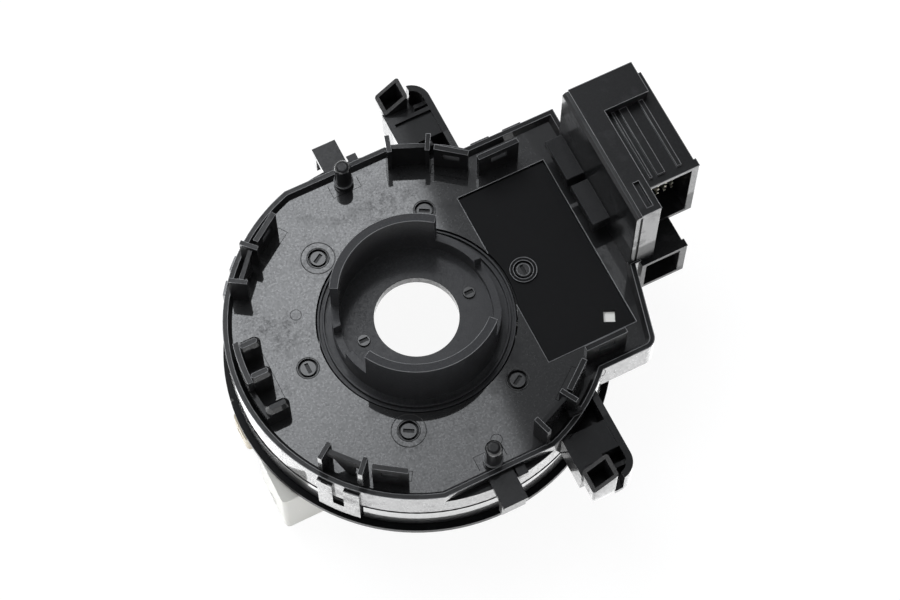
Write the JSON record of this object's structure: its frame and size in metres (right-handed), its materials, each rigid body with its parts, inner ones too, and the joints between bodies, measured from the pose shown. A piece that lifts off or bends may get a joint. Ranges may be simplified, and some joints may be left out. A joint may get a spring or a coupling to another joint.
{
  "type": "steering clock spring",
  "caption": "Black moulded steering clock spring with a cam sleeve round a shaft hole, a tall plug block, two side arms and a rotor that turns.",
  "frame": {"origin": "steering shaft axis at the wheel-side face of the rotor disc", "axes": "+Z along the steering shaft away from the driver, +X towards the connector block"},
  "size_m": [0.1346, 0.13, 0.071],
  "materials": {
    "black_moulding": "satin",
    "rotor_black": "gloss",
    "cam_black": "satin",
    "black_pin": "satin",
    "circuit_board": "satin",
    "chip_black": "matte",
    "terminal_brass": "satin",
    "cable_film": "satin",
    "natural_acetal": "satin",
    "cream_moulding": "satin",
    "beige_moulding": "satin",
    "magnet_ferrite": "matte"
  },
  "bodies": {
    "case": {"rear_case": "black_moulding", "cable_housing": "black_moulding", "sensor_lid": "black_moulding", "sensor_board": "circuit_board", "hall_sensors": "chip_black", "case_screws": "black_pin", "connector_block": "black_moulding", "upper_shroud": "black_moulding", "upper_terminals": "terminal_brass", "lower_shroud": "black_moulding", "lower_terminals": "terminal_brass", "flat_cable": "cable_film", "outer_cable_holder": "natural_acetal"},
    "rotor": {"rotor_case": "rotor_black", "cancel_cam": "cam_black", "hub_screws": "black_pin", "drive_gear": "natural_acetal", "inner_cable_holder": "natural_acetal", "airbag_connector": "cream_moulding", "airbag_terminals": "terminal_brass", "switch_connector": "beige_moulding", "switch_terminals": "terminal_brass"},
    "gear_a": {"sensor_gear_a": "natural_acetal", "magnet_a": "magnet_ferrite"},
    "gear_b": {"sensor_gear_b": "natural_acetal", "magnet_b": "magnet_ferrite"}
  },
  "joints": [
    {"name": "rotor_turn", "type": "hinge", "parent": "case", "child": "rotor", "pos_m": [0, 0, 0], "axis": [0, 0, 1], "range_deg": [-900, 900]},
    {"name": "gear_a_turn", "type": "hinge", "parent": "case", "child": "gear_a", "pos_m": [0.032, 0.0165, 0.0142], "axis": [0, 0, 1], "range_deg": [-2475, 2475]},
    {"name": "gear_b_turn", "type": "hinge", "parent": "case", "child": "gear_b", "pos_m": [0.03271, -0.01686, 0.0142], "axis": [0, 0, 1], "range_deg": [-2285, 2285]}
  ],
  "couplings": [
    {"joint": "gear_a_turn", "follows": "rotor_turn", "ratio": -2.75},
    {"joint": "gear_b_turn", "follows": "rotor_turn", "ratio": -2.5385}
  ]
}
